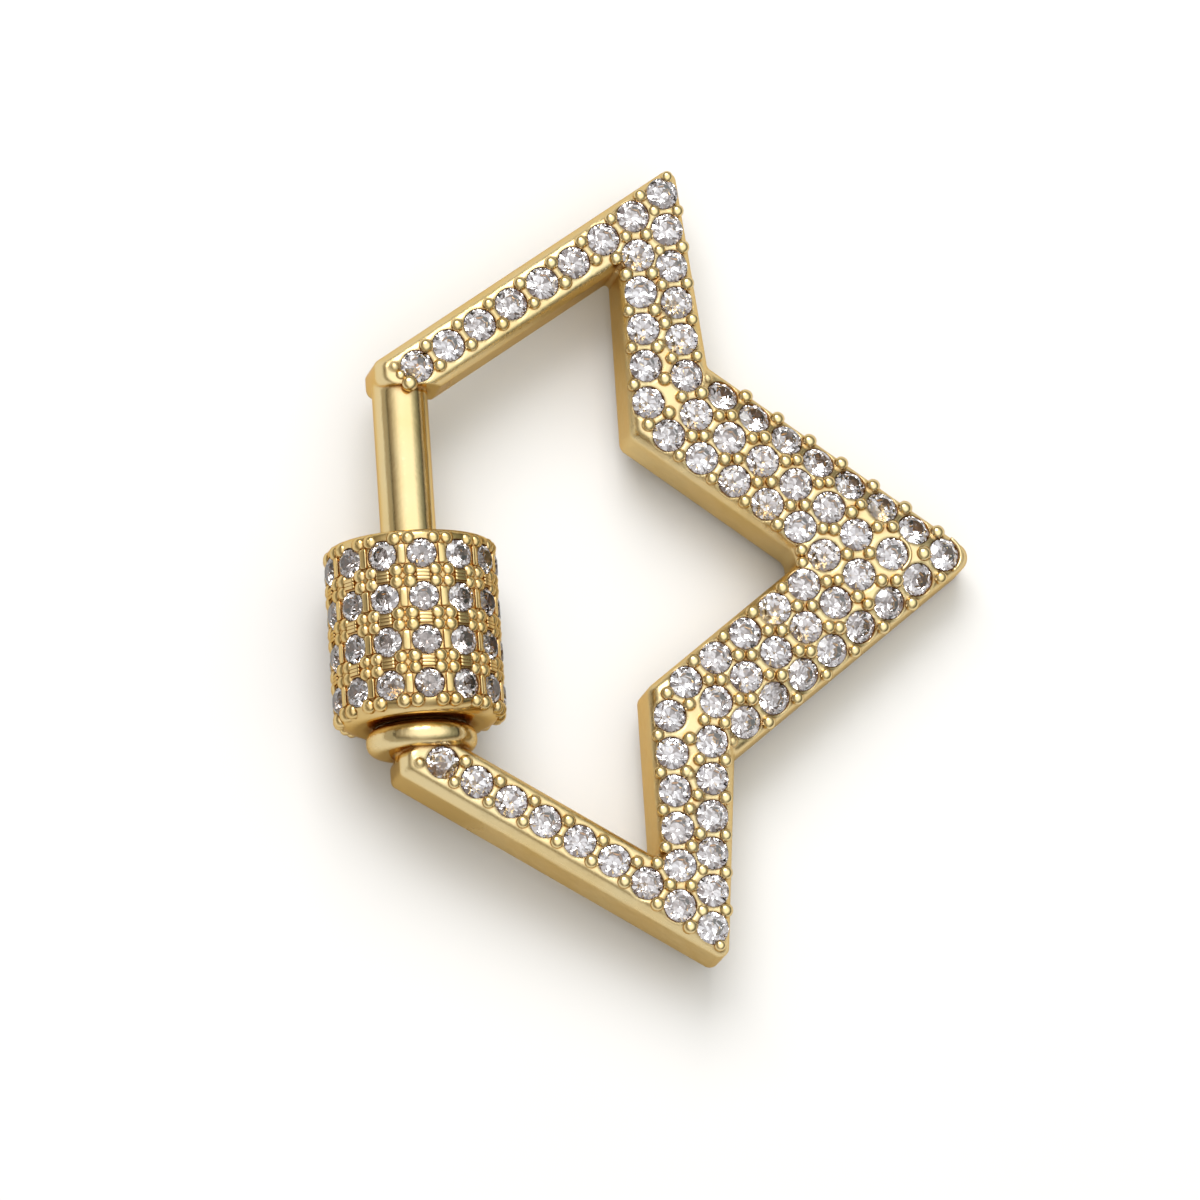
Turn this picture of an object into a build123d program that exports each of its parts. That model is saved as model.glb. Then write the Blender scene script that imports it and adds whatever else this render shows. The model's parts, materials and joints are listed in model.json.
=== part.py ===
from build123d import *
from itertools import combinations
import math
import os

# Crown carabiner clasp, in millimetres, closed and lying as it does on a table.
# The crown is drawn first in its own flat frame: the rod's axis is the Y axis, the middle point of the
# crown is on +X, and the stone-set front is the plane z = 0. At the end the whole clasp is tipped about
# the rod, because the barrel is thicker than the crown, and set down on z = 0.

# Crown outline. The lower half mirrors the upper half.
tip_x = 10.47
tip_y = 14.76
valley_x = 11.2
valley_y = 7.25
nose_x = 20.7
bar_slope = 32.07
bar_width = 2.05
arm_width = 3.91
inner_wall_x = 8.17
bar_end_y = 6.65
crown_thickness = 2.6

# Edges of the crown: how far each shoulder comes in at the front, how deep the shoulders go, the radii that
# round a shoulder off into the side and into the front, the heights that the rounding is drawn through, and
# the small bevel round the back.
bar_shoulder = 0.30
limb_shoulder = 0.35
arm_shoulder = 1.20
opening_shoulder = 0.20
shoulder_depth = 0.50
side_round = 0.5
front_round = 0.3
shoulder_levels = (-0.84, -0.72, -0.60, -0.50, -0.40, -0.22, -0.10, -0.03, 0.0)
back_bevel = 0.15

# Corner radii in plan.
tip_radius = 0.35
valley_radius = 0.35
nose_radius = 0.55
bar_end_radius = 0.30
bar_root_radius = 0.40
opening_tip_radius = 0.15
opening_wall_radius = 0.40
opening_nose_radius = 0.50

# Rod, collar ring and screw stub.
rod_diameter = 2.0
rod_end_y = -1.0
rod_root = 0.6
rod_end_bevel = 0.2
collar_diameter = 3.98
collar_thickness = 0.92
collar_edge_radius = 0.42
stub_length = 1.5

# Barrel: the sleeve turns on the bush, and the bush runs on the rod.
barrel_top_y = 0.90
barrel_bottom_y = -5.70
barrel_diameter = 6.0
bush_wall = 0.5
bore_clearance = 0.06
bush_clearance = 0.05
bush_recess = 0.15
collar_gap = 0.06
barrel_top_round = 0.2
barrel_bottom_round = 0.65

# Cut stones, and the seats that they lie in.
frame_stone_diameter = 1.16
barrel_stone_diameter = 1.04
stone_facets = 8
table_share = 0.56
crown_share = 0.15
girdle_share = 0.05
pavilion_share = 0.42
seat_clearance = 0.03
seat_opening = 0.5
girdle_sink = 0.04

# Raised grains that hold the stones.
grain_radius = 0.205
grain_least = 0.13
grain_rise = 0.7
grain_gap = 0.015
grain_edge = 0.03
grain_spacing = 0.39
grain_reach = 1.66
barrel_grain_radius = 0.185
barrel_grain_across = 0.235
barrel_grain_along = 0.59

# A stone or a grain faces the mean way of the crown's front at a few points on a ring round it, whose
# radius is a share of the stone's diameter or of the grain's radius.
facing_points = 6
stone_ring_share = 0.3
grain_ring_share = 0.5

# Stone rows on the crown: along the bar, round the tip, down the limb, then three rows along the arm.
bar_pitch = 1.41
bar_row_start = 1.19
bar_stones = 6
tip_gaps = 3
tip_row_inset = 0.70
valley_stone_depth = 1.02
limb_gaps = 5
limb_inner_inset = 0.66
limb_inner_lift = 0.36
limb_inner_pitch = 1.37
limb_inner_stones = 5
arm_outer_inset = 0.70
arm_inner_inset = 0.74
# Columns: place across the arm as a share from the outer row to the inner row, first stone along the arm
# from the valley, pitch, and the length kept clear before the middle point.
arm_rows = [
    (0.0, 1.07, 1.404, 2.30),
    (0.5, 0.68, 1.458, 4.90),
    (1.0, 0.29, 1.439, 5.30),
]
nose_row = (1.32, 3.30, 5.80)
nose_pair_back = 4.57
nose_pair_half = 0.74

# Stone rows on the barrel.
barrel_columns = 13
barrel_rows = 4
barrel_row_pitch = 1.576
barrel_first_row = 0.90
barrel_column_angle = -2.6


# Plan geometry
def unit(v):
    length = math.hypot(v[0], v[1])
    return (v[0] / length, v[1] / length)


def along(point, direction, distance):
    return (point[0] + direction[0] * distance, point[1] + direction[1] * distance)


def between(a, b, share):
    return (a[0] + (b[0] - a[0]) * share, a[1] + (b[1] - a[1]) * share)


def spacing(a, b):
    return math.hypot(a[0] - b[0], a[1] - b[1])


def mirrored(point):
    return (point[0], -point[1])


def right_of(u):
    return (u[1], -u[0])


def meet(p, u, q, v):
    """Where the line through p along u meets the line through q along v."""
    cross = u[0] * v[1] - u[1] * v[0]
    distance = ((q[0] - p[0]) * v[1] - (q[1] - p[1]) * v[0]) / cross
    return along(p, u, distance)


# Corners of the upper half
tip = (tip_x, tip_y)
valley = (valley_x, valley_y)
nose = (nose_x, 0.0)
bar_out = (math.cos(math.radians(bar_slope)), math.sin(math.radians(bar_slope)))
bar_in = right_of(bar_out)
limb_on = unit((valley_x - tip_x, valley_y - tip_y))
limb_in = right_of(limb_on)
arm_on = unit((nose_x - valley_x, -valley_y))
arm_in = right_of(arm_on)
arm_length = spacing(valley, nose)
rod_radius = rod_diameter / 2
down = (0.0, -1.0)
level = (1.0, 0.0)

bar_inner = along(tip, bar_in, bar_width)
arm_inner = along(valley, arm_in, arm_width)
bar_end_outer = meet(tip, bar_out, (-rod_radius, 0.0), down)
bar_end_low = (-rod_radius, bar_end_y)
bar_end_inner = meet(bar_inner, bar_out, bar_end_low, level)
opening_tip = meet(bar_inner, bar_out, (inner_wall_x, 0.0), down)
opening_wall = meet(arm_inner, arm_on, (inner_wall_x, 0.0), down)
opening_nose = meet(arm_inner, arm_on, (0.0, 0.0), level)

# Columns: corner, inset of the front shoulder on the edge that starts there, corner radius. The corners run
# clockwise seen from the front, from the upper bar's end round the outside and back along the opening.
upper_outside = [
    (bar_end_low, bar_shoulder, bar_root_radius),
    (bar_end_outer, bar_shoulder, bar_end_radius),
    (tip, limb_shoulder, tip_radius),
    (valley, arm_shoulder, valley_radius),
]
upper_opening = [
    (opening_wall, opening_shoulder, opening_wall_radius),
    (opening_tip, opening_shoulder, opening_tip_radius),
    (bar_end_inner, 0.0, 0.0),
]


def mirrored_corners(corners, last_inset):
    """The same corners in the lower half, in reverse order, each with the inset of the edge after it."""
    insets = [last_inset] + [inset for _, inset, _ in corners[:-1]]
    flipped = [(mirrored(point), inset, radius) for (point, _, radius), inset in zip(corners, insets)]
    return list(reversed(flipped))


crown_corners = (
    upper_outside
    + [(nose, arm_shoulder, nose_radius)]
    + mirrored_corners(upper_outside, 0.0)
    + mirrored_corners(upper_opening, opening_shoulder)
    + [(opening_nose, opening_shoulder, opening_nose_radius)]
    + upper_opening
)


def inset_corners(corners, insets):
    """Moves each edge of a clockwise outline inwards by its own inset and returns the new corners."""
    count = len(corners)
    edges = []
    for i in range(count):
        start = corners[i]
        end = corners[(i + 1) % count]
        direction = unit((end[0] - start[0], end[1] - start[1]))
        edges.append((along(start, right_of(direction), insets[i]), direction))
    return [meet(*edges[i - 1], *edges[i]) for i in range(count)]


# Crown body
def shoulder_inset(inset, z):
    """How far a rounded shoulder has come in at a height. An edge with no inset stays square."""
    slope = math.atan2(inset, shoulder_depth)
    side_end = -shoulder_depth - side_round * math.tan(slope / 2)
    front_start = inset + front_round * math.tan(math.pi / 4 - slope / 2)
    if inset == 0 or z <= side_end:
        return 0.0
    if z < side_end + side_round * math.sin(slope):
        return side_round - math.sqrt(side_round ** 2 - (z - side_end) ** 2)
    if z < front_round * (math.sin(slope) - 1):
        return inset * (1 + z / shoulder_depth)
    return front_start - math.sqrt(front_round ** 2 - (z + front_round) ** 2)


def crown_section(z, bevel=0.0):
    """The crown's outline at one height, with its front shoulders and an even bevel."""
    points = [point for point, _, _ in crown_corners]
    insets = [shoulder_inset(inset, z) + bevel for _, inset, _ in crown_corners]
    radii = [radius for _, _, radius in crown_corners]
    outline = FilletPolyline(*inset_corners(points, insets), radius=radii, close=True)
    return Pos(0, 0, z) * make_face(outline.edges())


def crown_body():
    back = [crown_section(-crown_thickness, back_bevel), crown_section(-crown_thickness + back_bevel)]
    return loft(back + [crown_section(z) for z in shoulder_levels], ruled=True)


# Where the stones lie on the crown
def upper_rows():
    """The stones above the middle line, from the upper bar's end round to the middle point."""
    bar_middle = along(tip, bar_in, bar_width / 2)
    bar_first = along(meet(bar_middle, bar_out, bar_end_low, level), bar_out, bar_row_start)
    bar = [along(bar_first, bar_out, bar_pitch * i) for i in range(bar_stones)]

    tip_stone = meet(along(tip, bar_in, tip_row_inset), bar_out, along(tip, limb_in, tip_row_inset), limb_on)
    to_tip = [between(bar[-1], tip_stone, i / tip_gaps) for i in range(1, tip_gaps + 1)]

    across_valley = unit((limb_in[0] + arm_in[0], limb_in[1] + arm_in[1]))
    valley_stone = along(valley, across_valley, valley_stone_depth)
    limb = [between(tip_stone, valley_stone, i / limb_gaps) for i in range(1, limb_gaps + 1)]

    inner_top = (inner_wall_x + limb_inner_inset, opening_tip[1] + limb_inner_lift)
    limb_inner = [along(inner_top, down, limb_inner_pitch * i) for i in range(limb_inner_stones)]

    arm = []
    for share, start, pitch, clear in arm_rows:
        inset = arm_outer_inset + (arm_width - arm_inner_inset - arm_outer_inset) * share
        first = along(along(valley, arm_in, inset), arm_on, start)
        count = math.floor((arm_length - clear - start) / pitch) + 1
        arm += [along(first, arm_on, pitch * i) for i in range(count)]

    return bar + to_tip + limb + limb_inner + arm + [(nose_x - nose_pair_back, nose_pair_half)]


upper_points = upper_rows()
middle_points = [(nose_x - back, 0.0) for back in nose_row]
lower_points = [mirrored(point) for point in upper_points]
stone_points = upper_points + middle_points + lower_points
seat_radius = frame_stone_diameter / 2 + seat_clearance


def front_plane(body, point, reach):
    """The crown's front at a plan point: its height there, facing the mean way of a small ring round it."""
    turns = [2 * math.pi * i / facing_points for i in range(facing_points)]
    ring = [along(point, (math.cos(a), math.sin(a)), reach) for a in turns]
    hits = [max(rays(body, p), key=lambda hit: hit[0].Z) for p in [point] + ring]
    facing = sum((hit[1] for hit in hits[1:]), Vector(0, 0, 0))
    return Plane(origin=hits[0][0], x_dir=(1, 0, 0), z_dir=facing.normalized())


def rays(body, point):
    return body.find_intersection_points(Axis((point[0], point[1], crown_thickness), (0, 0, -1)))


# Where the grains stand on the crown
def grain_room(point, rim):
    """The radius that fits at a plan point, clear of every seat and of the outline."""
    nearest_stone = min(spacing(point, stone) for stone in stone_points)
    nearest_edge = rim.distance_to(Vertex(point[0], point[1], 0))
    return min(nearest_stone - seat_radius - grain_gap, nearest_edge - grain_edge, grain_radius)


def grain_places(outline):
    """Grains beside each gap between neighbouring stones, and before each bar's first stone."""
    rim = outline.outer_wire()
    bar_ghost = along(upper_points[0], bar_out, -bar_pitch)
    reach = seat_radius + grain_gap + grain_radius

    wanted = []
    for a, b in combinations(stone_points + [bar_ghost], 2):
        gap = spacing(a, b)
        if gap < grain_reach:
            side = right_of(unit((b[0] - a[0], b[1] - a[1])))
            lift = math.sqrt(reach ** 2 - gap ** 2 / 4)
            wanted += [along(between(a, b, 0.5), side, way * lift) for way in (1, -1)]

    grains = []
    for point in wanted:
        if point[1] < -grain_gap:
            continue
        place = (point[0], 0.0) if point[1] < grain_spacing / 2 else point
        inside = outline.is_inside(Vector(place[0], place[1], 0))
        apart = all(spacing(place, other) >= grain_spacing for other, _ in grains)
        radius = grain_room(place, rim)
        if inside and apart and radius >= grain_least:
            grains.append((place, radius))
    return grains + [(mirrored(place), radius) for place, radius in grains if place[1] > 0]


# Cut stone and its seat. The stone's own z = 0 is the top of its girdle.
def cut_stone(diameter):
    """A table, a ring of crown facets, a thin girdle and a pointed pavilion."""
    girdle = diameter * girdle_share

    def ring(radius, z):
        turns = [2 * math.pi * i / stone_facets for i in range(stone_facets)]
        return [(radius * math.cos(a), radius * math.sin(a), z) for a in turns]

    rings = [
        ring(diameter / 2 * table_share, diameter * crown_share),
        ring(diameter / 2, 0.0),
        ring(diameter / 2, -girdle),
    ]
    culet = (0.0, 0.0, -girdle - diameter * pavilion_share)
    loops = [rings[0]]
    for i in range(stone_facets):
        j = (i + 1) % stone_facets
        loops += [[upper[i], upper[j], lower[j], lower[i]] for upper, lower in zip(rings, rings[1:])]
        loops.append([rings[-1][i], rings[-1][j], culet])
    faces = [Face(Wire.make_polygon([Vector(*p) for p in loop], close=True)) for loop in loops]
    return Solid(Shell(faces))


def stone_seat(diameter):
    """The hollow that a stone drops into, open through the front."""
    radius = diameter / 2 + seat_clearance
    ledge = -diameter * girdle_share - seat_clearance
    point = -diameter * (girdle_share + pavilion_share) - seat_clearance
    corners = [
        (0, 0, point),
        (radius, 0, ledge),
        (radius, 0, seat_opening),
        (0, 0, seat_opening),
    ]
    return revolve(make_face(Polyline(*corners, close=True).edges()), Axis.Z)


def sunk(plane, depth):
    return plane.offset(-depth).location


def grain(radius):
    return Pos(0, 0, -radius * (1 - grain_rise)) * Sphere(radius)


# Rod, collar and stub, which are one solid with the crown
rod_centre = -crown_thickness / 2
collar_top_y = barrel_bottom_y - collar_gap
bore_radius = rod_radius + bore_clearance
bush_radius = bore_radius + bush_wall
sleeve_bore = bush_radius + bush_clearance
barrel_radius = barrel_diameter / 2


def turned(profile):
    """A solid of revolution about the rod's axis, from points given as radius and y."""
    face = make_face(Polyline(*[(r, y) for r, y in profile], close=True).edges())
    return Pos(0, 0, rod_centre) * revolve(face, Axis.Y)


def rod():
    return turned([
        (0, rod_end_y),
        (rod_radius - rod_end_bevel, rod_end_y),
        (rod_radius, rod_end_y + rod_end_bevel),
        (rod_radius, bar_end_y + rod_root),
        (0, bar_end_y + rod_root),
    ])


def stub():
    top = collar_top_y + stub_length
    return turned([
        (0, -bar_end_y - rod_root),
        (rod_radius, -bar_end_y - rod_root),
        (rod_radius, top - rod_end_bevel),
        (rod_radius - rod_end_bevel, top),
        (0, top),
    ])


def collar():
    ring = Cylinder(collar_diameter / 2, collar_thickness, rotation=(90, 0, 0))
    ring = fillet(ring.edges().filter_by(GeomType.CIRCLE), collar_edge_radius)
    return Pos(0, collar_top_y - collar_thickness / 2, rod_centre) * ring


# Barrel
def tube(outer, inner, top, bottom):
    return turned([(inner, bottom), (outer, bottom), (outer, top), (inner, top)])


def round_end(body, y, radius):
    """Rounds the outer edge of the end that is nearest to y."""
    circles = body.edges().filter_by(GeomType.CIRCLE)
    widest = max(e.radius for e in circles)
    rims = [e for e in circles if e.radius > widest - bush_wall]
    return fillet(min(rims, key=lambda e: abs(e.center().Y - y)), radius)


def barrel_plane(y, angle):
    """The barrel's surface at a height along it, angle degrees round from the front towards +X."""
    facing = Vector(math.sin(math.radians(angle)), 0, math.cos(math.radians(angle)))
    return Plane(origin=Vector(0, y, rod_centre) + facing * barrel_radius, x_dir=(0, 1, 0), z_dir=facing)


column_step = 360 / barrel_columns
column_angles = [barrel_column_angle + column_step * i for i in range(barrel_columns)]
row_heights = [barrel_top_y - barrel_first_row - barrel_row_pitch * i for i in range(barrel_rows)]


def barrel_stone_planes():
    return [barrel_plane(y, angle) for y in row_heights for angle in column_angles]


def barrel_grain_planes():
    """Two grains above and two below each gap between neighbouring stones of a row."""
    half = math.degrees(barrel_grain_across / barrel_radius)
    middles = [angle + column_step / 2 for angle in column_angles]
    heights = [y + side * barrel_grain_along for y in row_heights for side in (1, -1)]
    return [barrel_plane(y, angle + side * half) for y in heights for angle in middles for side in (1, -1)]


# Sub-parts, in the crown's flat frame
def crown_frame(blank, planes, outline):
    seat = stone_seat(frame_stone_diameter)
    body = blank.cut(*[seat.moved(sunk(plane, girdle_sink)) for plane in planes])
    places = grain_places(outline)
    grains = [grain(r).moved(front_plane(blank, p, r * grain_ring_share).location) for p, r in places]
    return body.fuse(*grains).fuse(rod(), collar(), stub())


def stone_field(planes, diameter):
    stone = cut_stone(diameter)
    return Compound([stone.moved(sunk(plane, girdle_sink)) for plane in planes])


def thread_bush():
    return tube(bush_radius, bore_radius, barrel_top_y - bush_recess, barrel_bottom_y + bush_recess)


def barrel_sleeve():
    body = tube(barrel_radius, sleeve_bore, barrel_top_y, barrel_bottom_y)
    body = round_end(body, barrel_top_y, barrel_top_round)
    body = round_end(body, barrel_bottom_y, barrel_bottom_round)
    seat = stone_seat(barrel_stone_diameter)
    body = body.cut(*[seat.moved(sunk(plane, girdle_sink)) for plane in barrel_stone_planes()])
    return body.fuse(*[grain(barrel_grain_radius).moved(plane.location) for plane in barrel_grain_planes()])


def build():
    blank = crown_body()
    outline = crown_section(rod_centre).moved(Pos(0, 0, -rod_centre)).face()
    ring = frame_stone_diameter * stone_ring_share
    upper = [front_plane(blank, point, ring) for point in upper_points + middle_points]
    lower = [front_plane(blank, point, ring) for point in lower_points]
    return {
        "crown_frame": crown_frame(blank, upper + lower, outline),
        "frame_stones_upper": stone_field(upper, frame_stone_diameter),
        "frame_stones_lower": stone_field(lower, frame_stone_diameter),
        "thread_bush": thread_bush(),
        "barrel_sleeve": barrel_sleeve(),
        "barrel_stones": stone_field(barrel_stone_planes(), barrel_stone_diameter),
    }


# The clasp lies on the barrel and on the back edge of its middle point.
barrel_reach = barrel_radius + barrel_grain_radius * grain_rise
nose_end = nose_x - nose_radius * (1 / abs(arm_on[1]) - 1)
nose_reach = nose_end - back_bevel
rest_tilt = math.degrees(
    math.asin(barrel_reach / math.hypot(nose_reach, rod_centre)) + math.atan2(rod_centre, nose_reach)
)


def laid_down(parts):
    """Tips every piece about the rod's axis, then moves the origin below the middle of the whole clasp."""
    tip_over = Pos(0, 0, rod_centre) * Rot(0, rest_tilt, 0) * Pos(0, 0, -rod_centre)
    tipped = {name: shape.moved(tip_over) for name, shape in parts.items()}
    box = Compound(list(tipped.values())).bounding_box()
    middle = box.center()
    return {name: shape.moved(Pos(-middle.X, -middle.Y, -box.min.Z)) for name, shape in tipped.items()}


os.makedirs("parts", exist_ok=True)
for node, shape in laid_down(build()).items():
    export_step(shape, f"parts/{node}.step")
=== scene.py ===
import json
import math
import random

import bmesh
import bpy
from mathutils import Matrix, Vector
from mathutils.bvhtree import BVHTree


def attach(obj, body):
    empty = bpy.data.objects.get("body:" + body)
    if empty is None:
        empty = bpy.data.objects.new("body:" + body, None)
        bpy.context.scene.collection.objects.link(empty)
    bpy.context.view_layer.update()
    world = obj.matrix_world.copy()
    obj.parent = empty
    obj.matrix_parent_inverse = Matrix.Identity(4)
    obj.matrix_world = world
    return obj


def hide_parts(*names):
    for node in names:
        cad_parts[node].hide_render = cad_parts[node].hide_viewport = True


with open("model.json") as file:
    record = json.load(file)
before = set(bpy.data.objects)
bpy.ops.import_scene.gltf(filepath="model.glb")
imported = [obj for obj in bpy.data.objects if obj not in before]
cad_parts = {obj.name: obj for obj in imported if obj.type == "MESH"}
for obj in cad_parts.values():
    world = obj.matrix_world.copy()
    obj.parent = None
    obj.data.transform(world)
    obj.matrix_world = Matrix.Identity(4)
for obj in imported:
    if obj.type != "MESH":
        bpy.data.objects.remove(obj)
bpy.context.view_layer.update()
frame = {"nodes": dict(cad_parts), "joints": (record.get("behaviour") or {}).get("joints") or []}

# %% [markdown]
# # A crown carabiner clasp
#
# This lesson dresses a small piece of jewellery: a crown-shaped clasp in pale gold plating, set with cut
# stones, that is closed by a barrel on a round rod. The solids come from the CAD model and are in metres.
# The metal is already right there, so it keeps its CAD mesh and only gets a finish. What is made new here is
# what is too fine for the CAD model: stones with all their facets, and round polished grains.

# %% Sizes
MM = 0.001
nodes = frame["nodes"]
rod_axis = Vector(frame["joints"][1]["pos_m"])

# %% [markdown]
# ## The camera
#
# A picture of jewellery is taken from far away with a long lens, so that the near end of the piece looks no
# bigger than the far end. Here the camera stands 0.45 m off with a 375 mm lens. A camera's own matrix holds
# three directions as columns: its right, its up, and the way back from the object to the camera.

# %% Camera
camera_place = Vector((-51.00, -101.45, 437.24)) * MM
camera_right = Vector((0.9930, -0.0660, 0.0972))
camera_up = Vector((0.0422, 0.9725, 0.2291))
lens_length = 375.0
sensor_width = 36.0

camera_back = camera_right.cross(camera_up).normalized()
camera_up = camera_back.cross(camera_right).normalized()
turn = Matrix((camera_right.normalized(), camera_up, camera_back)).transposed()

camera = bpy.data.objects.new("camera", bpy.data.cameras.new("camera"))
bpy.context.scene.collection.objects.link(camera)
camera.matrix_world = Matrix.Translation(camera_place) @ turn.to_4x4()
camera.data.lens = lens_length
camera.data.sensor_width = sensor_width
camera.data.clip_start = 0.01
camera.data.clip_end = 10.0
bpy.context.scene.camera = camera

print("camera is", round(camera_place.length, 3), "m from the clasp")

# %% [markdown]
# ## Small helpers for meshes and materials
#
# A bmesh is Blender's mesh for editing. When a piece is done, its bmesh becomes a mesh on an object that sits
# at the origin, so that its place is in its vertices, as the CAD nodes have it. A material is a small graph
# of nodes, and each link in it says which output feeds which input. The two nodes used most are a noise,
# which is a cloudy pattern of numbers, and a ramp, which turns a number into a colour.

# %% Helpers
black = (0.0, 0.0, 0.0)
white = (1.0, 1.0, 1.0)


def mesh_from(bm, name, smooth=False):
    """Turns a finished bmesh into a mesh; smooth shading blurs the edges between its faces."""
    if smooth:
        for face in bm.faces:
            face.smooth = True
    mesh = bpy.data.meshes.new(name)
    bm.to_mesh(mesh)
    bm.free()
    return mesh


def piece_from(mesh, name, material):
    """An object at the origin that shows the mesh."""
    mesh.materials.append(material)
    piece = bpy.data.objects.new(name, mesh)
    bpy.context.scene.collection.objects.link(piece)
    return piece


def new_material(name):
    """A material and its main shader node."""
    material = bpy.data.materials.new(name)
    material.use_nodes = True
    return material, material.node_tree.nodes["Principled BSDF"]


def add(material, kind, **inputs):
    """One more node, with numbers and colours set on its own inputs."""
    node = material.node_tree.nodes.new(kind)
    for key, value in inputs.items():
        node.inputs[key.replace("_", " ")].default_value = value
    return node


def link(material, output, target):
    """Feeds one node's output to another node's input."""
    material.node_tree.links.new(output, target)


def ramp(material, source, stops):
    """A colour ramp: each stop is a place from 0 to 1 and a colour."""
    node = material.node_tree.nodes.new("ShaderNodeValToRGB")
    elements = node.color_ramp.elements
    for i, (place, colour) in enumerate(stops):
        element = elements[i] if i < 2 else elements.new(place)
        element.position = place
        element.color = (*colour, 1.0)
    link(material, source, node.inputs["Fac"])
    return node.outputs["Color"]


def fade(material, source, near, far):
    """Nothing up to near, one from far."""
    return ramp(material, source, [(near, black), (far, white)])


def noise(material, place, **settings):
    """A cloudy pattern of numbers from 0 to 1."""
    node = add(material, "ShaderNodeTexNoise", **settings)
    link(material, place, node.inputs["Vector"])
    return node.outputs["Fac"]


def mix(material, kind, share, a, b):
    """Mixes two colours; share is a number or another node's output."""
    node = material.node_tree.nodes.new("ShaderNodeMix")
    node.data_type = "RGBA"
    node.blend_type = kind
    if isinstance(share, float):
        node.inputs["Factor"].default_value = share
    else:
        link(material, share, node.inputs["Factor"])
    link(material, a, node.inputs["A"])
    link(material, b, node.inputs["B"])
    return node.outputs["Result"]


def dot_with(material, vector, direction):
    """How nearly a vector points along a direction, one when it does."""
    node = material.node_tree.nodes.new("ShaderNodeVectorMath")
    node.operation = "DOT_PRODUCT"
    link(material, vector, node.inputs[0])
    node.inputs[1].default_value = direction
    return node.outputs["Value"]


print("helpers ready for meshes and materials")

# %% [markdown]
# ## A white table
#
# Polished metal has hardly any colour of its own: it shows what stands round it. So the studio matters as
# much as the metal. It starts with a white table under the clasp. The metal sees the table a little darker
# than the camera does, a painted shade, because the light that it reflects at a low angle has crossed the
# clasp's own shade.

# %% Table
table_size = 1.2
table_tones = [(0.3, (0.74, 0.732, 0.732)), (0.7, (0.75, 0.742, 0.742))]
reflected_shade_tones = [(0.3, (0.63, 0.625, 0.62)), (0.7, (0.65, 0.645, 0.64))]

bm = bmesh.new()
bmesh.ops.create_grid(bm, x_segments=1, y_segments=1, size=table_size / 2)
table_white, shader = new_material("table_white")
shader.inputs["Roughness"].default_value = 0.9
shader.inputs["Specular IOR Level"].default_value = 0.1
place = add(table_white, "ShaderNodeTexCoord").outputs["Object"]
mottle = noise(table_white, place, Scale=60.0, Detail=2.0)
plain = ramp(table_white, mottle, table_tones)
# Painted shade: the rays that the metal reflects see these darker tones in place of the plain ones.
reflected_shade = ramp(table_white, mottle, reflected_shade_tones)
ray = add(table_white, "ShaderNodeLightPath")
table_colour = mix(table_white, "MIX", ray.outputs["Is Glossy Ray"], plain, reflected_shade)
link(table_white, table_colour, shader.inputs["Base Color"])
table = piece_from(mesh_from(bm, "table"), "table", table_white)

print("table made, side", table_size, "m")

# %% [markdown]
# ## A tent of light
#
# Round the table stands a white tent, which is brightest overhead. Between the overhead light and the tent's
# wall there is a thin dark gap, high on the left and low on the right. The gap draws the two dark lines that
# run along a round polished rod. The tent is the world's own shader, so its colour depends only on the
# direction that a ray leaves in. Each list below says how bright one side of it is at different heights.

# %% Light from each side
# Stops: height of the direction, from level at 0 to straight up at 1, and the light that comes from there.
middle_light = [
    (0.0, (0.60, 0.56, 0.50)),
    (0.45, (0.60, 0.57, 0.51)),
    (0.60, (0.86, 0.85, 0.81)),
    (0.82, (1.45, 1.45, 1.42)),
    (1.0, (1.55, 1.56, 1.54)),
]
left_light = [
    (0.0, (0.54, 0.50, 0.43)),
    (0.42, (0.42, 0.40, 0.33)),
    (0.44, (0.02, 0.02, 0.02)),
    (0.47, (0.02, 0.02, 0.02)),
    (0.49, (0.26, 0.22, 0.16)),
    (0.66, (0.44, 0.40, 0.33)),
    (0.82, (0.90, 0.86, 0.78)),
    (1.0, (1.50, 1.50, 1.46)),
]
right_light = [
    (0.0, (0.56, 0.49, 0.38)),
    (0.13, (0.50, 0.43, 0.33)),
    (0.155, (0.02, 0.02, 0.02)),
    (0.22, (0.02, 0.02, 0.02)),
    (0.26, (0.20, 0.205, 0.175)),
    (0.45, (0.34, 0.36, 0.31)),
    (0.66, (0.85, 0.87, 0.82)),
    (0.80, (1.50, 1.52, 1.47)),
    (1.0, (1.50, 1.50, 1.47)),
]
back_light = [
    (0.0, (0.62, 0.59, 0.53)),
    (0.22, (0.46, 0.43, 0.36)),
    (0.40, (0.20, 0.18, 0.13)),
    (0.52, (0.60, 0.58, 0.52)),
    (0.75, (1.40, 1.40, 1.36)),
]

print("brightest light, overhead:", middle_light[-1][1])

# %% Tent for the metal
# Each side: the way to it, how nearly a ray points there where the side begins and is whole, and its light.
tent_sides = [
    ((-1, 0, 0), (0.0, 0.45), left_light),
    ((1, 0, 0), (0.0, 0.45), right_light),
    ((0, 1, 0), (0.50, 0.85), back_light),
]
world = bpy.data.worlds.new("tent")
bpy.context.scene.world = world
world.use_nodes = True
sky = world.node_tree.nodes["Background"]
sky.inputs["Strength"].default_value = 1.0
direction = add(world, "ShaderNodeTexCoord").outputs["Generated"]
height = dot_with(world, direction, (0, 0, 1))
tent_light = ramp(world, height, middle_light)
for towards, (near, far), side_light in tent_sides:
    share = fade(world, dot_with(world, direction, towards), near, far)
    tent_light = mix(world, "MIX", share, tent_light, ramp(world, height, side_light))

print("tent made, with", len(tent_sides), "sides")

# %% [markdown]
# ## A darker tent for the stones
#
# A cut stone throws back light from all round. Without anything dark to throw back, it looks like a chip of
# white glass. So the rays inside the stones see a darker tent of their own, with folds in it, shade on its
# sides, and the camera as a dark spot overhead. The Light Path node tells which rays those are.

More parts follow.
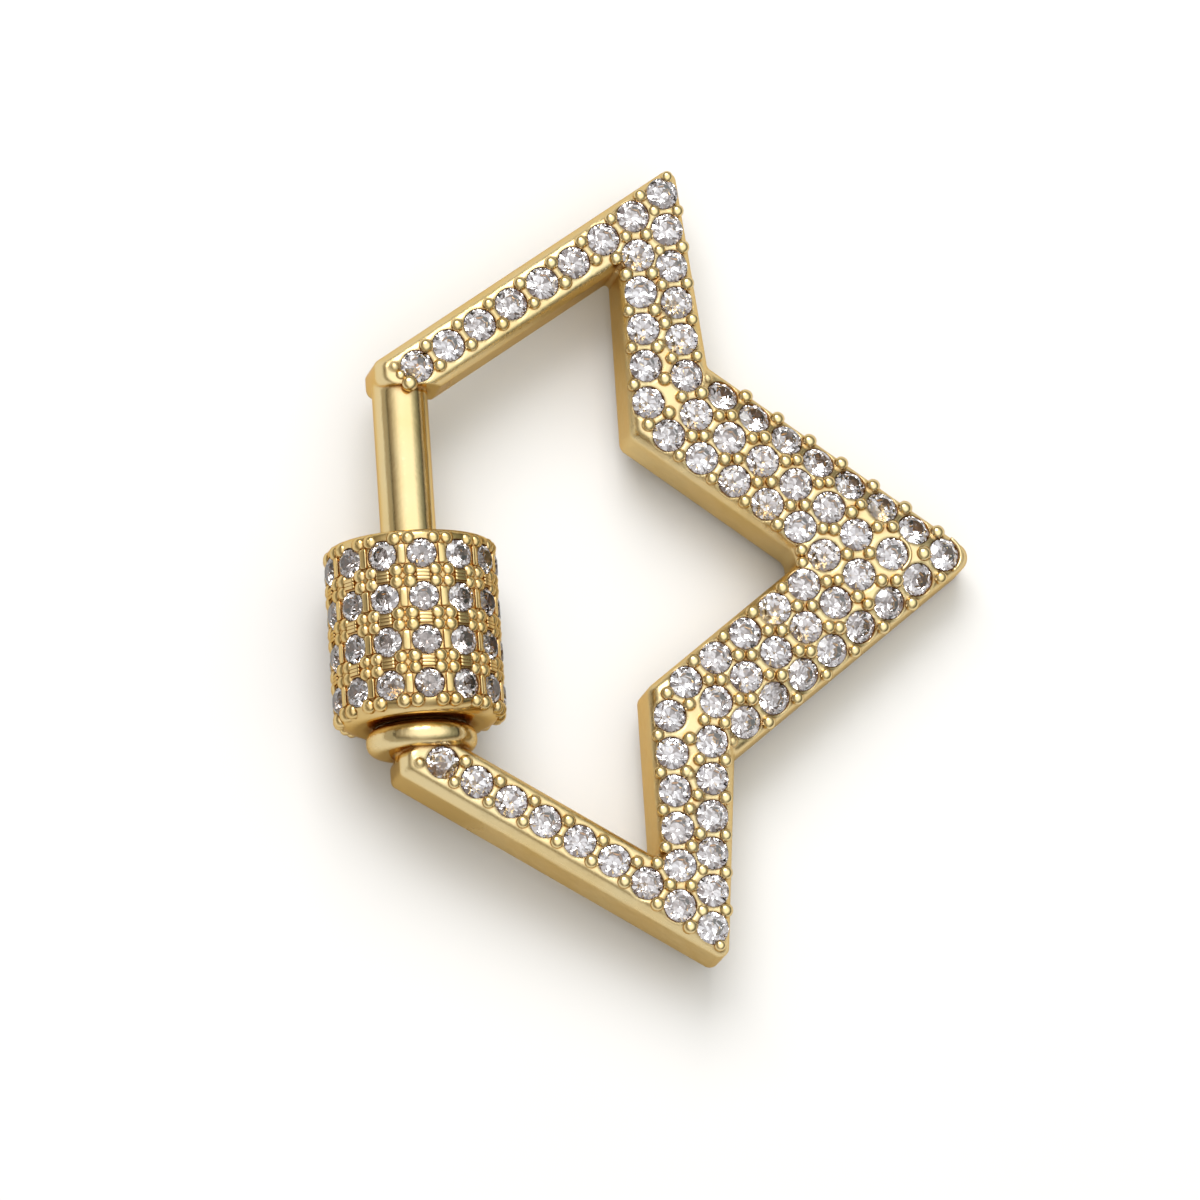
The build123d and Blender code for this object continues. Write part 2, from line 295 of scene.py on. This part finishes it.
# %% Tent for the stones
stone_light = [
    (0.0, (0.28, 0.26, 0.25)),
    (0.30, (0.44, 0.42, 0.42)),
    (0.55, (0.80, 0.79, 0.82)),
    (0.80, (1.02, 1.02, 1.04)),
]
fold_tones = [(0.38, (0.34, 0.29, 0.28)), (0.56, white)]
side_shade = [(0.30, white), (0.62, (0.50, 0.47, 0.46))]
camera_spot = [(0.955, white), (0.985, (0.30, 0.26, 0.25))]

folds = noise(world, direction, Scale=7.0, Detail=3.0)
in_stones = mix(world, "MULTIPLY", 1.0, ramp(world, height, stone_light), ramp(world, folds, fold_tones))
for towards, shade in (((1, 0, 0), side_shade), ((-1, 0, 0), side_shade), (camera_back, camera_spot)):
    shaded = ramp(world, dot_with(world, direction, towards), shade)
    in_stones = mix(world, "MULTIPLY", 1.0, in_stones, shaded)

print("stone tent made, with", len(stone_light), "stops")


# %% [markdown]
# ## One large lamp
#
# A large lamp behind the clasp throws the soft shadow towards the front. A square lamp would show as a square
# on every grain, so it is hidden from reflections, and the metal sees a soft round patch of light in the tent
# instead, in the same direction.

# %% Lamp
def soft_lamp(name, place_mm, size, power):
    """A square lamp that looks at the clasp and doesn't show in reflections."""
    lamp = bpy.data.objects.new(name, bpy.data.lights.new(name, "AREA"))
    lamp.data.size = size
    lamp.data.energy = power
    bpy.context.scene.collection.objects.link(lamp)
    lamp.location = Vector(place_mm) * MM
    lamp.rotation_mode = "QUATERNION"
    lamp.rotation_quaternion = lamp.location.to_track_quat("Z", "Y")
    lamp.visible_glossy = False
    return lamp


soft_lamp("key_lamp", place_mm=(-55, 300, 395), size=0.34, power=1.95)
towards_lamp = (-0.10, 0.60, 0.79)
lamp_spot = [(0.925, black), (0.98, (4.5, 4.5, 4.3))]

ray = add(world, "ShaderNodeLightPath")
patch = ramp(world, dot_with(world, direction, towards_lamp), lamp_spot)
tent_light = mix(world, "ADD", ray.outputs["Is Glossy Ray"], tent_light, patch)
seen = mix(world, "MIX", ray.outputs["Is Transmission Ray"], tent_light, in_stones)
link(world, seen, sky.inputs["Color"])
bpy.context.scene.view_settings.view_transform = "Standard"

print("lamp made, with a patch of light for reflections")

# %% [markdown]
# ## Pale gold plating
#
# The clasp is cast brass, polished and plated with pale gold. The shader is a metal with a yellow colour.
# Five things keep it from looking like a single flat colour:
#
# - broad patches that are a little redder or greener, as plating varies in thickness
# - a roughness that changes from place to place, with the rod like a mirror, the front bright, and the walls
#   satin, where no polishing wheel reaches
# - a very shallow unevenness that bends the reflections, with small pits from the casting on top of it
# - painted shade in the crevices: a browner tone, and less metal there, so the brown shows in place of
#   black reflections
# - a Bevel node, which rounds the light on sharp edges as wear does

# %% Where the gold is satin
polished_within = 0.21
cast_from = 0.44


def walls(gold):
    """One on walls, nothing on what faces up."""
    facing = add(gold, "ShaderNodeNewGeometry").outputs["True Normal"]
    return ramp(gold, dot_with(gold, facing, (0, 0, 1)), [(0.35, white), (0.75, black)])


def off_the_rod(gold, place):
    """Nothing on the polished rod, one on the cast metal away from it, where a unit is 5 mm."""
    units = 1 / (5 * MM)
    from_axis = add(gold, "ShaderNodeMapping", Scale=(units, 0.0, units))
    from_axis.inputs["Location"].default_value = (-rod_axis.x * units, 0.0, -rod_axis.z * units)
    link(gold, place, from_axis.inputs["Vector"])
    distance = gold.node_tree.nodes.new("ShaderNodeVectorMath")
    distance.operation = "LENGTH"
    link(gold, from_axis.outputs["Vector"], distance.inputs[0])
    return fade(gold, distance.outputs["Value"], polished_within, cast_from)


def roughness(gold, polish, least, most):
    """A roughness between least and most that follows a noise."""
    return ramp(gold, polish, [(0.3, (least,) * 3), (0.75, (most,) * 3)])


print("the rod is at x and z in mm:", round(rod_axis.x / MM, 2), round(rod_axis.z / MM, 2))

# %% Gold
crevice_reach = 0.32 * MM
# The dark brown of the painted shade in crevices, and how metallic the most shut-in metal still is.
painted_shade_brown = (0.42, 0.22, 0.07)
least_metallic = 0.30
pit_depth = 0.012 * MM


def gold_finish(name, tones, crevice, waviness, edge_round, satin_walls=False):
    """Pale gold: tones, how open a crevice is where painted shade is darkest and where it ends, wave depth,
    soft edges.
    """
    gold, shader = new_material(name)
    shader.inputs["Specular Tint"].default_value = (0.86, 0.64, 0.36, 1.0)
    place = add(gold, "ShaderNodeTexCoord").outputs["Object"]

    patches = noise(gold, place, Scale=350.0, Detail=3.0, Roughness=0.55)
    plating = ramp(gold, patches, list(zip((0.30, 0.50, 0.70), tones)))
    # Painted shade: shut-in places, found by AO, turn dark brown and less metallic, so they show brown, not
    # black.
    open_air = add(gold, "ShaderNodeAmbientOcclusion", Distance=crevice_reach)
    open_air.samples = 6
    painted_crevice_shade = ramp(gold, open_air.outputs["AO"], list(zip(crevice, (painted_shade_brown, white))))
    link(gold, mix(gold, "MULTIPLY", 1.0, plating, painted_crevice_shade), shader.inputs["Base Color"])
    less_metal_in_shade = ramp(gold, open_air.outputs["AO"], [(0.05, (least_metallic,) * 3), (0.45, white)])
    link(gold, less_metal_in_shade, shader.inputs["Metallic"])

    polish = noise(gold, place, Scale=2500.0, Detail=4.0)
    gloss = roughness(gold, polish, 0.08, 0.18)
    if satin_walls:
        satin = roughness(gold, polish, 0.28, 0.40)
        mirror = roughness(gold, polish, 0.03, 0.07)
        cast = off_the_rod(gold, place)
        gloss = mix(gold, "MIX", cast, mirror, mix(gold, "MIX", walls(gold), gloss, satin))
    link(gold, gloss, shader.inputs["Roughness"])

    bump = add(gold, "ShaderNodeBump", Strength=1.0, Distance=waviness)
    link(gold, noise(gold, place, Scale=900.0, Detail=5.0, Roughness=0.56), bump.inputs["Height"])
    soft = add(gold, "ShaderNodeBevel", Radius=edge_round)
    soft.samples = 5
    link(gold, soft.outputs["Normal"], bump.inputs["Normal"])
    if satin_walls:
        relief = add(gold, "ShaderNodeBump", Distance=pit_depth)
        link(gold, noise(gold, place, Scale=3200.0, Detail=2.0), relief.inputs["Height"])
        link(gold, cast, relief.inputs["Strength"])
        link(gold, bump.outputs["Normal"], relief.inputs["Normal"])
        bump = relief
    link(gold, bump.outputs["Normal"], shader.inputs["Normal"])
    return gold


pale_tones = [(0.76, 0.59, 0.29), (0.79, 0.63, 0.345), (0.77, 0.64, 0.37)]
deep_tones = [(0.70, 0.51, 0.22), (0.75, 0.57, 0.28), (0.73, 0.58, 0.31)]
cast_gold = gold_finish("cast_gold", pale_tones, (0.42, 0.84), 0.020 * MM, 0.18 * MM, satin_walls=True)
grain_gold = gold_finish("grain_gold", pale_tones, (0.30, 0.78), 0.010 * MM, 0.02 * MM)
barrel_gold = gold_finish("barrel_gold", deep_tones, (0.50, 0.92), 0.020 * MM, 0.10 * MM)
barrel_grain_gold = gold_finish("barrel_grain_gold", deep_tones, (0.36, 0.84), 0.018 * MM, 0.02 * MM)

nodes["crown_frame"].data.materials[0] = cast_gold
nodes["thread_bush"].data.materials[0] = barrel_gold
nodes["barrel_sleeve"].data.materials[0] = barrel_gold

print("gold finishes:", [m.name for m in bpy.data.materials if m.name.endswith("gold")])


# %% [markdown]
# ## A cut stone
#
# A stone cutter starts with a round rough and grinds flat facets one at a time. A bisect does the same: it
# cuts the mesh with a plane, throws the outside away, and the cut is closed with one flat face. A round
# brilliant has a table on top, eight main facets, eight small star facets round the table and sixteen more
# along the girdle, and below the girdle sixteen facets and eight mains that run to a point. The stone is cut
# with a diameter of one, because that is easier to think about, and is made smaller when it is set. Its
# table gets material number one, and all its other facets number nought.

# %% Cut facets
def grind(stone, slope, around, through):
    """Cuts the stone with a plane: slope up from level, around the axis, through a point."""
    normal = Vector((math.sin(slope) * math.cos(around), math.sin(slope) * math.sin(around), math.cos(slope)))
    whole = stone.verts[:] + stone.edges[:] + stone.faces[:]
    cut = bmesh.ops.bisect_plane(
        stone, geom=whole, dist=1e-5, plane_co=through, plane_no=normal, clear_outer=True
    )
    rim = [e for e in cut["geom_cut"] if isinstance(e, bmesh.types.BMEdge)]
    if len(rim) > 2:
        bmesh.ops.edgeloop_fill(stone, edges=rim)


def grind_ring(stone, count, offset, slope, radius, height):
    """A ring of facets, each through the point at that radius and height in its own direction."""
    for i in range(count):
        around = 2 * math.pi * (i + offset) / count
        through = Vector((radius * math.cos(around), radius * math.sin(around), height))
        grind(stone, slope, around, through)


print("helpers ready: one for a facet, one for a ring of them")

# %% Cut the stone
stone_radius = 0.5
girdle_height = 0.05
table_radius = 0.28
crown_height = 0.15
pavilion_depth = 0.42
crown_angle = math.atan2(crown_height, stone_radius - table_radius)
star_angle = math.radians(21)
upper_girdle_angle = math.radians(41)
pavilion_angle = math.atan2(pavilion_depth, stone_radius)
lower_girdle_angle = math.radians(41.5)


def brilliant():
    """A round brilliant of diameter one, with the top of its girdle at height zero."""
    stone = bmesh.new()
    bmesh.ops.create_cone(
        stone, cap_ends=True, segments=32, radius1=stone_radius, radius2=stone_radius, depth=1.2
    )
    star_edge = table_radius * math.cos(math.pi / 8)
    grind(stone, 0.0, 0.0, Vector((0, 0, crown_height)))
    grind_ring(stone, 8, 0.0, crown_angle, stone_radius, 0.0)
    grind_ring(stone, 8, 0.5, star_angle, star_edge, crown_height)
    grind_ring(stone, 16, 0.5, upper_girdle_angle, stone_radius, 0.0)
    grind_ring(stone, 8, 0.0, math.pi - pavilion_angle, stone_radius, -girdle_height)
    grind_ring(stone, 16, 0.5, math.pi - lower_girdle_angle, stone_radius, -girdle_height)
    bmesh.ops.recalc_face_normals(stone, faces=stone.faces[:])
    for face in stone.faces:
        face.material_index = int(face.normal.z > 0.99)
    return mesh_from(stone, "brilliant")


cut_stone = brilliant()

print("facets on one stone:", len(cut_stone.polygons), "with points", len(cut_stone.vertices))

# %% [markdown]
# ## Where the stones sit
#
# The CAD model holds each stone as a simpler solid in its seat. Its mesh is loose triangles, so a copy of it
# is merged first. Then each stone is one island of joined points. The points nearest to the island's middle
# are the corners of its table, and the line from the middle through the table's centre is its axis.

# %% Find the stones
table_corners = 8
same_point = 0.0005 * MM


def islands_of(bm):
    """Groups of points that are joined by edges."""
    left = set(bm.verts)
    groups = []
    while left:
        group = [left.pop()]
        for vert in group:
            for edge in vert.link_edges:
                other = edge.other_vert(vert)
                if other in left:
                    left.remove(other)
                    group.append(other)
        groups.append(group)
    return groups


def stones_in(node):
    """Girdle centre, axis and diameter of each stone in a CAD node."""
    bm = bmesh.new()
    bm.from_mesh(node.data)
    bmesh.ops.remove_doubles(bm, verts=bm.verts[:], dist=same_point)
    found = []
    for group in islands_of(bm):
        points = [vert.co.copy() for vert in group]
        middle = sum(points, Vector()) / len(points)
        corners = sorted(points, key=lambda p: (p - middle).length)[:table_corners]
        table_centre = sum(corners, Vector()) / table_corners
        axis = (table_centre - middle).normalized()
        tip = min(points, key=lambda p: (p - middle).dot(axis))
        radius = max((p - tip - axis * (p - tip).dot(axis)).length for p in points)
        girdle = tip + axis * (girdle_height + pavilion_depth) * 2 * radius
        found.append((girdle, axis, 2 * radius))
    bm.free()
    return sorted(found, key=lambda stone: tuple(round(x / MM, 3) for x in stone[0]))


upper_stones = stones_in(nodes["frame_stones_upper"])
lower_stones = stones_in(nodes["frame_stones_lower"])
barrel_stones = stones_in(nodes["barrel_stones"])

print("stones:", len(upper_stones), len(lower_stones), len(barrel_stones))
print("diameters in mm:", round(upper_stones[0][2] / MM, 3), round(barrel_stones[0][2] / MM, 3))


# %% [markdown]
# ## Clear stone
#
# The stones are clear and bend light strongly, as cubic zirconia does, with an index of 2.15. Light that
# comes in through the top is thrown back by the facets below, so the flat facets and the index do nearly all
# the work. The colour is a faint tint that varies from one stone to the next. The table has a darker tint of
# its own, which is painted shade, and on the barrel a much darker one, painted shade that makes the smaller
# stones dark in the middle.

# %% Stone finish
def stone_finish(name, warm, cool):
    """Clear stone with two faint tints that change from place to place."""
    stone, shader = new_material(name)
    shader.inputs["Roughness"].default_value = 0.0
    shader.inputs["IOR"].default_value = 2.15
    shader.inputs["Transmission Weight"].default_value = 1.0
    place = add(stone, "ShaderNodeTexCoord").outputs["Object"]
    tint = noise(stone, place, Scale=420.0, Detail=1.0)
    link(stone, ramp(stone, tint, [(0.35, warm), (0.65, cool)]), shader.inputs["Base Color"])
    return stone


crown_finishes = [
    stone_finish("clear_stone", (0.96, 0.94, 0.94), (0.95, 0.95, 0.97)),
    # The table's finish is a little darker: painted shade.
    stone_finish("painted_table_shade", (0.84, 0.79, 0.78), (0.96, 0.95, 0.97)),
]
barrel_finishes = [
    stone_finish("barrel_stone", (0.93, 0.90, 0.89), (0.95, 0.95, 0.96)),
    # The barrel's table finish is dark: painted shade.
    stone_finish("barrel_painted_table_shade", (0.20, 0.15, 0.13), (0.40, 0.35, 0.33)),
]

print("stone finishes:", [finish.name for finish in crown_finishes + barrel_finishes])


# %% [markdown]
# ## Setting the stones
#
# The same cut stone is copied to every seat. Each copy is turned about its own axis by chance, because
# nobody lines the facets up, is tipped by up to five degrees, and is a little deeper or flatter than the
# next. That is what makes some stones flash white while their neighbours stay grey. The chance is seeded, so
# every run sets the same stones.

# %% Copy a mesh into a piece
def stamp(bm, mesh, move):
    """Copies a mesh into the bmesh and moves the copy."""
    old = len(bm.verts)
    bm.from_mesh(mesh)
    bm.verts.ensure_lookup_table()
    bmesh.ops.transform(bm, matrix=move, verts=bm.verts[old:])


print("helper ready: it fills a piece with copies of one mesh")

# %% Set the stones
most_tip = math.radians(5)
depths = (0.93, 1.07)


def set_stones(name, stones, node, body, finishes, seed):
    """One piece with a brilliant in each seat."""
    chance = random.Random(seed)
    bm = bmesh.new()
    for girdle, axis, diameter in stones:
        facing = axis.to_track_quat("Z", "Y").to_matrix().to_4x4()
        spin = Matrix.Rotation(chance.uniform(0, math.pi / 4), 4, "Z")
        tip = Matrix.Rotation(chance.uniform(-most_tip, most_tip), 4, "X")
        size = Matrix.Diagonal((diameter, diameter, diameter * chance.uniform(*depths), 1.0))
        stamp(bm, cut_stone, Matrix.Translation(girdle) @ facing @ tip @ spin @ size)
    piece = piece_from(mesh_from(bm, name), name, finishes[0])
    piece.data.materials.append(finishes[1])
    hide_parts(node)
    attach(piece, body)
    print(name, "has", len(stones), "stones and", len(piece.data.polygons), "facets")


set_stones("crown_stones_upper", upper_stones, "frame_stones_upper", "frame", crown_finishes, 3)
set_stones("crown_stones_lower", lower_stones, "frame_stones_lower", "frame", crown_finishes, 5)
set_stones("barrel_stones_cut", barrel_stones, "barrel_stones", "barrel", barrel_finishes, 7)

# %% [markdown]
# ## Grains
#
# A setter raises small beads of metal beside each stone and pushes them over its edge. On the real clasp
# they are cast and look like tiny polished balls. The CAD model has each of them as a coarse sphere, so here
# a smooth ball goes over each one. It is a little flattened, and its lower half is drawn down into the metal,
# so that no gap shows under it. Hundreds of them are set, so each has few faces, and smooth shading does the
# rest.

# %% One grain
ball_height = 0.72
pillar_depth = 0.8


def grain_mesh():
    """A slightly flattened ball of radius one whose lower half is drawn out into a short pillar."""
    bm = bmesh.new()
    bmesh.ops.create_uvsphere(bm, u_segments=14, v_segments=8, radius=1.0)
    lower = [vert for vert in bm.verts if vert.co.z < -0.01]
    bmesh.ops.scale(bm, vec=(1, 1, ball_height), verts=bm.verts)
    bmesh.ops.translate(bm, vec=(0, 0, -pillar_depth), verts=lower)
    return mesh_from(bm, "grain", smooth=True)


grain = grain_mesh()

print("faces on one grain:", len(grain.polygons))


# %% Stand small parts on a surface
def stand_on(facing):
    """A turn that brings a mesh's up to facing and keeps its own Y along the rod."""
    across = Vector((0, 1, 0)).cross(facing).normalized()
    return Matrix((across, facing.cross(across), facing)).transposed().to_4x4()


def set_on(bm, mesh, place, facing, size, turn=0.0):
    """Copies a mesh into the bmesh: sized, turned about its own up, stood along facing and moved."""
    spin = Matrix.Rotation(turn, 4, "Z")
    stamp(bm, mesh, Matrix.Translation(place) @ stand_on(facing) @ spin @ Matrix.Diagonal((*size, 1.0)))


def metal_piece(bm, name, body, finish):
    """A finished gold piece that rides on a body."""
    piece = piece_from(mesh_from(bm, name), name, finish)
    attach(piece, body)
    print(name, "has", len(piece.data.polygons), "faces")


print("helpers ready: they stand small parts on a surface")

# %% [markdown]
# ## Where the crown's grains stand
#
# A grain stands beside the gap between two neighbouring stones, just clear of both seats. So for each pair of
# neighbours there are two places to look at, one on each side of the line between them. A ray that is shot
# down there on the CAD mesh tells how high the metal is: if it stands up from the front, that is a grain.

# %% Height of the crown's metal
all_stones = upper_stones + lower_stones
axes = [axis for _, axis, _ in all_stones]
front = max(axes, key=lambda a: sum(a.dot(b) > 0.99999 for b in axes))
crown_tree = BVHTree.FromPolygons(
    [v.co for v in nodes["crown_frame"].data.vertices],
    [p.vertices for p in nodes["crown_frame"].data.polygons],
)


def top_at(point):
    """The highest metal of the crown over or under a point, looking straight at its front."""
    return crown_tree.ray_cast(point + front * 2 * MM, -front)[0]


print("the crown's front faces", [round(x, 3) for x in front])

# %% Places to look at
grain_radius = 0.205 * MM
grain_gap = 0.015 * MM
seat_clearance = 0.03 * MM
neighbour_reach = 1.66 * MM
surface_over_girdle = 0.04 * MM
outer_edge_tilt = 0.15


def grain_candidates():
    """Places beside the gap between two neighbouring stones, with the front's facing there."""
    seat_radius = all_stones[0][2] / 2 + seat_clearance
    reach = seat_radius + grain_gap + grain_radius
    for i, (a, axis_a, _) in enumerate(all_stones):
        for b, axis_b, _ in all_stones[i + 1:]:
            gap = b - a
            flat_gap = gap - front * gap.dot(front)
            if flat_gap.length > neighbour_reach:
                continue
            side = flat_gap.cross(front).normalized()
            lift = math.sqrt(reach ** 2 - flat_gap.length ** 2 / 4)
            facing = (axis_a + axis_b).normalized()
            middle = (a + b) / 2 + facing * surface_over_girdle
            outward = facing - front * facing.dot(front)
            for way in (1, -1):
                at_edge = side.dot(outward) * way > outer_edge_tilt
                yield middle + side * way * lift, facing, outward.normalized() * at_edge


candidates = list(grain_candidates())

print("places to look at:", len(candidates))

# %% Grains on the crown
least_distance = 0.25 * MM
beside_a_grain = 0.3 * MM
least_rise = 0.07 * MM
least_low_sides = 3


def crown_grains():
    """Top, facing and way out over the edge of each grain that the CAD crown has."""
    grains = []
    ring = [front.orthogonal(), front.cross(front.orthogonal())]
    for place, facing, outward in candidates:
        top = top_at(place)
        if top is None or any((top - other).length < least_distance for other, _, _ in grains):
            continue
        around = [top_at(top + way.normalized() * side * beside_a_grain) for way in ring for side in (1, -1)]
        low = [point for point in around if point is None or (top - point).dot(front) > least_rise]
        if len(low) >= least_low_sides:
            grains.append((top, facing, outward))
    return grains


grain_tops = crown_grains()

print("grains on the crown:", len(grain_tops))

# %% [markdown]
# ## Setting the crown's grains
#
# Each ball covers the coarse grain under it and stands a little higher. Along the outer edge the grains lean
# out over it, so there each ball is shifted outwards. Their sizes differ by a few percent, by seeded chance.

# %% Set the crown's grains
ball_radius = 0.25 * MM
ball_sizes = (0.93, 1.07)
ball_lift = 0.09 * MM
edge_shift = 0.09 * MM
most_turn = 3.0

chance = random.Random(11)
bm = bmesh.new()
for top, facing, outward in grain_tops:
    radius = ball_radius * chance.uniform(*ball_sizes)
    place = top - front * (radius * ball_height - ball_lift) + outward * edge_shift
    set_on(bm, grain, place, facing, (radius,) * 3, chance.uniform(0, most_turn))
metal_piece(bm, "crown_grains", "frame", grain_gold)


# %% [markdown]
# ## Extra grains at the ends
#
# A few grains have no close pair of stones beside them: one at the end of each tip, two at the corner of the
# upper bar, where one hangs a little over the rod, and a large one near the middle point. Each is placed
# from the stone next to it: where that stone is in plan, how far away the grain is to the right, along the
# rod and up, and its radius, all in mm.

# %% Set the end grains
def nearest_stone(x_mm, y_mm):
    """The girdle centre of the crown's stone that is nearest to a place in plan."""
    girdles = [girdle for girdle, _, _ in all_stones]
    return min(girdles, key=lambda girdle: (girdle.x / MM - x_mm) ** 2 + (girdle.y / MM - y_mm) ** 2)


end_grains = [
    ((1.3, 14.0), (0.22, 0.63, -0.01), 0.21),
    ((1.3, -14.0), (0.22, -0.63, -0.01), 0.21),
    ((-7.5, 7.3), (-0.30, -0.60, -0.01), 0.30),
    ((-7.5, 7.3), (-0.62, -0.30, -0.01), 0.20),
    ((10.0, 0.0), (-0.80, 0.0, 0.25), 0.28),
]
along_rod = Vector((0, 1, 0))
to_the_right = along_rod.cross(front).normalized()
bm = bmesh.new()
for beside, (right, along, up), radius in end_grains:
    place = nearest_stone(*beside) + (to_the_right * right + along_rod * along + front * up) * MM
    set_on(bm, grain, place, front, (radius * MM,) * 3)
metal_piece(bm, "end_grains", "frame", grain_gold)


# %% [markdown]
# ## Bright rims
#
# Beside the two stones nearest the middle point the metal is raised into a thin bright rim, on the side
# towards the point. A rim is a small filled circle that is spun part of the way about the stone's axis. It
# stands only a few hundredths of a millimetre above the front, but it catches the light.

# %% Rims at the middle point
def arc_mesh(radius, thickness, sweep, steps=14, about=8):
    """A round ridge that follows an arc about the Z axis, with the middle of the arc towards +X."""
    bm = bmesh.new()
    stand_up = Matrix.Translation((radius, 0, 0)) @ Matrix.Rotation(math.pi / 2, 4, "X")
    lay = Matrix.Rotation(-sweep / 2, 4, "Z") @ stand_up
    bmesh.ops.create_circle(bm, cap_ends=True, segments=about, radius=thickness, matrix=lay)
    disc = bm.verts[:] + bm.edges[:] + bm.faces[:]
    bmesh.ops.spin(bm, geom=disc, cent=(0, 0, 0), axis=(0, 0, 1), angle=sweep, steps=steps)
    bmesh.ops.recalc_face_normals(bm, faces=bm.faces[:])
    return mesh_from(bm, "ridge", smooth=True)


rim = arc_mesh(radius=0.66, thickness=0.075, sweep=math.radians(125))
off_the_middle = 0.1 * MM
middle_line = [stone for stone in all_stones if abs(stone[0].y) < off_the_middle]
nearest_the_point = sorted(middle_line, key=lambda stone: -stone[0].x)[:2]
bm = bmesh.new()
for girdle, axis, _ in nearest_the_point:
    set_on(bm, rim, girdle + axis * surface_over_girdle, axis, (MM,) * 3)
metal_piece(bm, "crown_rims", "frame", grain_gold)

# %% [markdown]
# ## The barrel's rows and columns
#
# The stones of the barrel stand in rows and columns, so the places between them are simpler to find. The
# angle of each stone about the rod gives the columns, and its place along the rod gives the rows.

# %% Rows and columns
barrel_surface = 3.0 * MM


def round_the_barrel(angle, y, radius):
    """A point on the barrel and the way it faces, angle in radians from the top."""
    facing = Vector((math.sin(angle), 0.0, math.cos(angle)))
    return Vector((rod_axis.x, y, rod_axis.z)) + facing * radius, facing


def angle_of(point):
    """The angle of a point about the rod, from the top."""
    return math.atan2(point.x - rod_axis.x, point.z - rod_axis.z)


angles = sorted({round(angle_of(girdle), 3) for girdle, _, _ in barrel_stones})
rows = sorted({round(girdle.y / MM, 2) for girdle, _, _ in barrel_stones})
column_step = 2 * math.pi / len(angles)
row_step = (rows[-1] - rows[0]) / (len(rows) - 1) * MM

print("columns:", len(angles), "rows at y in mm:", rows)

# %% [markdown]
# ## The barrel's grains
#
# Between two neighbours in a row there are two grains above and two below, so every stone has eight round it.

# %% Set the barrel's grains
barrel_grain_across = 0.25 * MM
barrel_grain_along = 0.58 * MM
barrel_grain_radius = 0.285 * MM
barrel_grain_sizes = (0.94, 1.04)
barrel_grain_top = 3.122 * MM

chance = random.Random(13)
corners = [(across, along) for across in (-1, 1) for along in (-1, 1)]
bm = bmesh.new()
for y in rows:
    for angle in angles:
        for across, along in corners:
            turn_to = angle + column_step / 2 + across * barrel_grain_across / barrel_surface
            radius = barrel_grain_radius * chance.uniform(*barrel_grain_sizes)
            height_here = barrel_grain_top - radius * ball_height
            place, facing = round_the_barrel(turn_to, y * MM + along * barrel_grain_along, height_here)
            set_on(bm, grain, place, facing, (radius,) * 3, chance.uniform(0, most_turn))
metal_piece(bm, "barrel_grains", "barrel", barrel_grain_gold)


# %% [markdown]
# ## Bars between the barrel's stones
#
# Between the grains run short raised bars: one along the barrel between neighbours in a row, and three thin
# ribs across between neighbours in a column. A bar is a cube with bevelled edges, which catch the light, and
# it is stretched when it is set.

# %% One bar
def bar_mesh():
    """A bar of length one in each direction with rounded edges."""
    bm = bmesh.new()
    bmesh.ops.create_cube(bm, size=1.0)
    bmesh.ops.bevel(
        bm, geom=bm.edges[:], offset=0.16, offset_type="OFFSET", segments=2, profile=0.5, affect="EDGES",
        material=-1
    )
    return mesh_from(bm, "bar", smooth=True)


bar = bar_mesh()

print("faces on one bar:", len(bar.polygons))

# %% Set the bars
upright_size = (0.26 * MM, 0.72 * MM, 0.16 * MM)
rib_size = (0.50 * MM, 0.12 * MM, 0.16 * MM)
rib_pitch = 0.125 * MM

bm = bmesh.new()
for y in rows:
    for angle in angles:
        place, facing = round_the_barrel(angle + column_step / 2, y * MM, barrel_surface)
        set_on(bm, bar, place, facing, upright_size)
for y in rows[:-1]:
    for angle in angles:
        for rib in (-1, 0, 1):
            place, facing = round_the_barrel(angle, y * MM + row_step / 2 + rib * rib_pitch, barrel_surface)
            set_on(bm, bar, place, facing, rib_size)
metal_piece(bm, "barrel_bars", "barrel", barrel_grain_gold)
